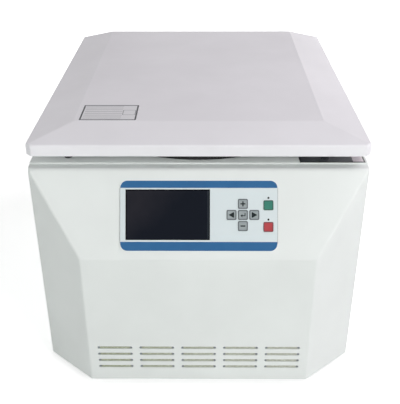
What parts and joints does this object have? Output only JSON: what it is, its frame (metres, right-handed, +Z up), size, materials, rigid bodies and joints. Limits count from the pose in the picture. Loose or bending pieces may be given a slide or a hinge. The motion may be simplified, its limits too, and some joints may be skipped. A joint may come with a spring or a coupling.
{
  "type": "butterfat centrifuge",
  "caption": "Bench centrifuge for butterfat tubes: hinged lid with bevelled edges over a heated steel chamber with an angled sleeve rotor, sloped control panel, front vents.",
  "frame": {"origin": "on the bench plane, under the middle of the overall width and depth", "axes": "+X to the right of someone facing the control panel, -Y is the front, +Z up"},
  "size_m": [0.45, 0.56, 0.3702],
  "materials": {
    "cabinet_paint": "semi-gloss powder coat, white with a faint green cast",
    "lid_paint": "semi-gloss powder coat, cool white",
    "zinc_steel": "zinc plated sheet",
    "screw_steel": "plated steel",
    "shaft_steel": "ground steel",
    "sleeve_steel": "drawn stainless tube",
    "stainless": "spun stainless, fine turning marks",
    "chrome_wire": "nickel-chrome plated wire",
    "cast_aluminium": "die-cast, bead blasted",
    "turned_aluminium": "turned and anodised",
    "stator_iron": "laminations with varnished windings",
    "black_rubber": "matt moulded rubber",
    "red_rubber": "soft moulded rubber",
    "silicone_heater": "glass-filled silicone mat",
    "black_plastic": "moulded, fine texture",
    "rocker_plastic": "glossy moulded",
    "circuit_board": "solder mask over glass laminate",
    "facia_print": "printed film, white ground with a blue band at top and bottom",
    "screen_glass": "glossy dark window",
    "lamp_lens": "smoked lens",
    "filter_foam": "open-cell foam",
    "dark_plate": "glossy dark plate with a black border, blank",
    "label_film": "printed film, blank with a fine border",
    "key_grey": "silicone key, darker rim",
    "key_green": "silicone key, darker rim",
    "key_red": "silicone key, darker rim"
  },
  "bodies": {
    "cabinet": {"base_plate": "zinc_steel", "rubber_feet": "black_rubber", "cabinet_screws": "screw_steel", "front_cover": "cabinet_paint", "left_side_panel": "cabinet_paint", "right_side_panel": "cabinet_paint", "rear_panel": "cabinet_paint", "top_deck": "cabinet_paint", "frame_posts": "zinc_steel", "chamber_shelf": "zinc_steel", "chamber_bowl": "stainless", "chamber_gasket": "black_rubber", "heater_band": "silicone_heater", "armour_ring": "zinc_steel", "temperature_probe": "stainless", "shaft_boot": "black_rubber", "motor_housing": "cast_aluminium", "motor_stator": "stator_iron", "motor_bearings": "screw_steel", "motor_dampers": "black_rubber", "drive_unit": "cast_aluminium", "power_supply": "zinc_steel", "control_board": "circuit_board", "display_module": "black_plastic", "keypad_facia": "facia_print", "display_window": "screen_glass", "status_lamps": "lamp_lens", "intake_filter": "filter_foam", "rating_plate": "dark_plate", "lid_buffers": "black_rubber", "lock_housings": "black_plastic", "hinge_brackets": "screw_steel", "fan_frame": "black_plastic", "fan_guard": "chrome_wire", "power_inlet": "black_plastic"},
    "lid": {"lid_shell": "lid_paint", "lid_liner": "lid_paint", "seal_plate": "stainless", "lid_strikers": "screw_steel", "lid_label": "label_film", "hinge_leaves": "screw_steel", "hinge_pins": "screw_steel"},
    "rotor": {"motor_shaft": "shaft_steel", "rotor_hub": "turned_aluminium", "rotor_dish": "stainless", "tube_sleeves": "sleeve_steel", "sleeve_cushions": "red_rubber", "sleeve_hoop": "stainless", "rotor_knob": "turned_aluminium"},
    "fan": {"fan_impeller": "black_plastic"},
    "bolt_left": {"lock_bolt_left": "screw_steel"},
    "bolt_right": {"lock_bolt_right": "screw_steel"},
    "rocker": {"power_rocker": "rocker_plastic"},
    "key_up": {"key_up": "key_grey"},
    "key_down": {"key_down": "key_grey"},
    "key_left": {"key_left": "key_grey"},
    "key_right": {"key_right": "key_grey"},
    "key_enter": {"key_enter": "key_grey"},
    "key_start": {"key_start": "key_green"},
    "key_stop": {"key_stop": "key_red"}
  },
  "joints": [
    {"name": "lid_hinge", "type": "hinge", "parent": "cabinet", "child": "lid", "pos_m": [0, 0.271, 0.3351], "axis": [-1, 0, 0], "range_deg": [0, 75]},
    {"name": "rotor_spin", "type": "hinge", "parent": "cabinet", "child": "rotor", "pos_m": [0, -0.031, 0.12], "axis": [0, 0, 1], "continuous": true},
    {"name": "fan_spin", "type": "hinge", "parent": "cabinet", "child": "fan", "pos_m": [-0.11, 0.2625, 0.095], "axis": [0, 1, 0], "continuous": true},
    {"name": "bolt_right_slide", "type": "slide", "parent": "cabinet", "child": "bolt_right", "axis": [-1, 0, 0], "range_m": [0, 0.01]},
    {"name": "bolt_left_slide", "type": "slide", "parent": "cabinet", "child": "bolt_left", "axis": [1, 0, 0], "range_m": [0, 0.01]},
    {"name": "power_rock", "type": "hinge", "parent": "cabinet", "child": "rocker", "pos_m": [0.15, 0.2756, 0.099], "axis": [1, 0, 0], "range_deg": [0, 16]},
    {"name": "key_up_press", "type": "slide", "parent": "cabinet", "child": "key_up", "axis": [0, 0.8692, -0.4945], "range_m": [0, 0.0005], "stiffness_N_per_m": 1000, "springref_m": -0.001},
    {"name": "key_down_press", "type": "slide", "parent": "cabinet", "child": "key_down", "axis": [0, 0.8692, -0.4945], "range_m": [0, 0.0005], "stiffness_N_per_m": 1000, "springref_m": -0.001},
    {"name": "key_left_press", "type": "slide", "parent": "cabinet", "child": "key_left", "axis": [0, 0.8692, -0.4945], "range_m": [0, 0.0005], "stiffness_N_per_m": 1000, "springref_m": -0.001},
    {"name": "key_right_press", "type": "slide", "parent": "cabinet", "child": "key_right", "axis": [0, 0.8692, -0.4945], "range_m": [0, 0.0005], "stiffness_N_per_m": 1000, "springref_m": -0.001},
    {"name": "key_enter_press", "type": "slide", "parent": "cabinet", "child": "key_enter", "axis": [0, 0.8692, -0.4945], "range_m": [0, 0.0005], "stiffness_N_per_m": 1000, "springref_m": -0.001},
    {"name": "key_start_press", "type": "slide", "parent": "cabinet", "child": "key_start", "axis": [0, 0.8692, -0.4945], "range_m": [0, 0.0005], "stiffness_N_per_m": 1000, "springref_m": -0.001},
    {"name": "key_stop_press", "type": "slide", "parent": "cabinet", "child": "key_stop", "axis": [0, 0.8692, -0.4945], "range_m": [0, 0.0005], "stiffness_N_per_m": 1000, "springref_m": -0.001}
  ],
  "couplings": [
    {"joint": "bolt_left_slide", "follows": "bolt_right_slide", "ratio": 1}
  ]
}
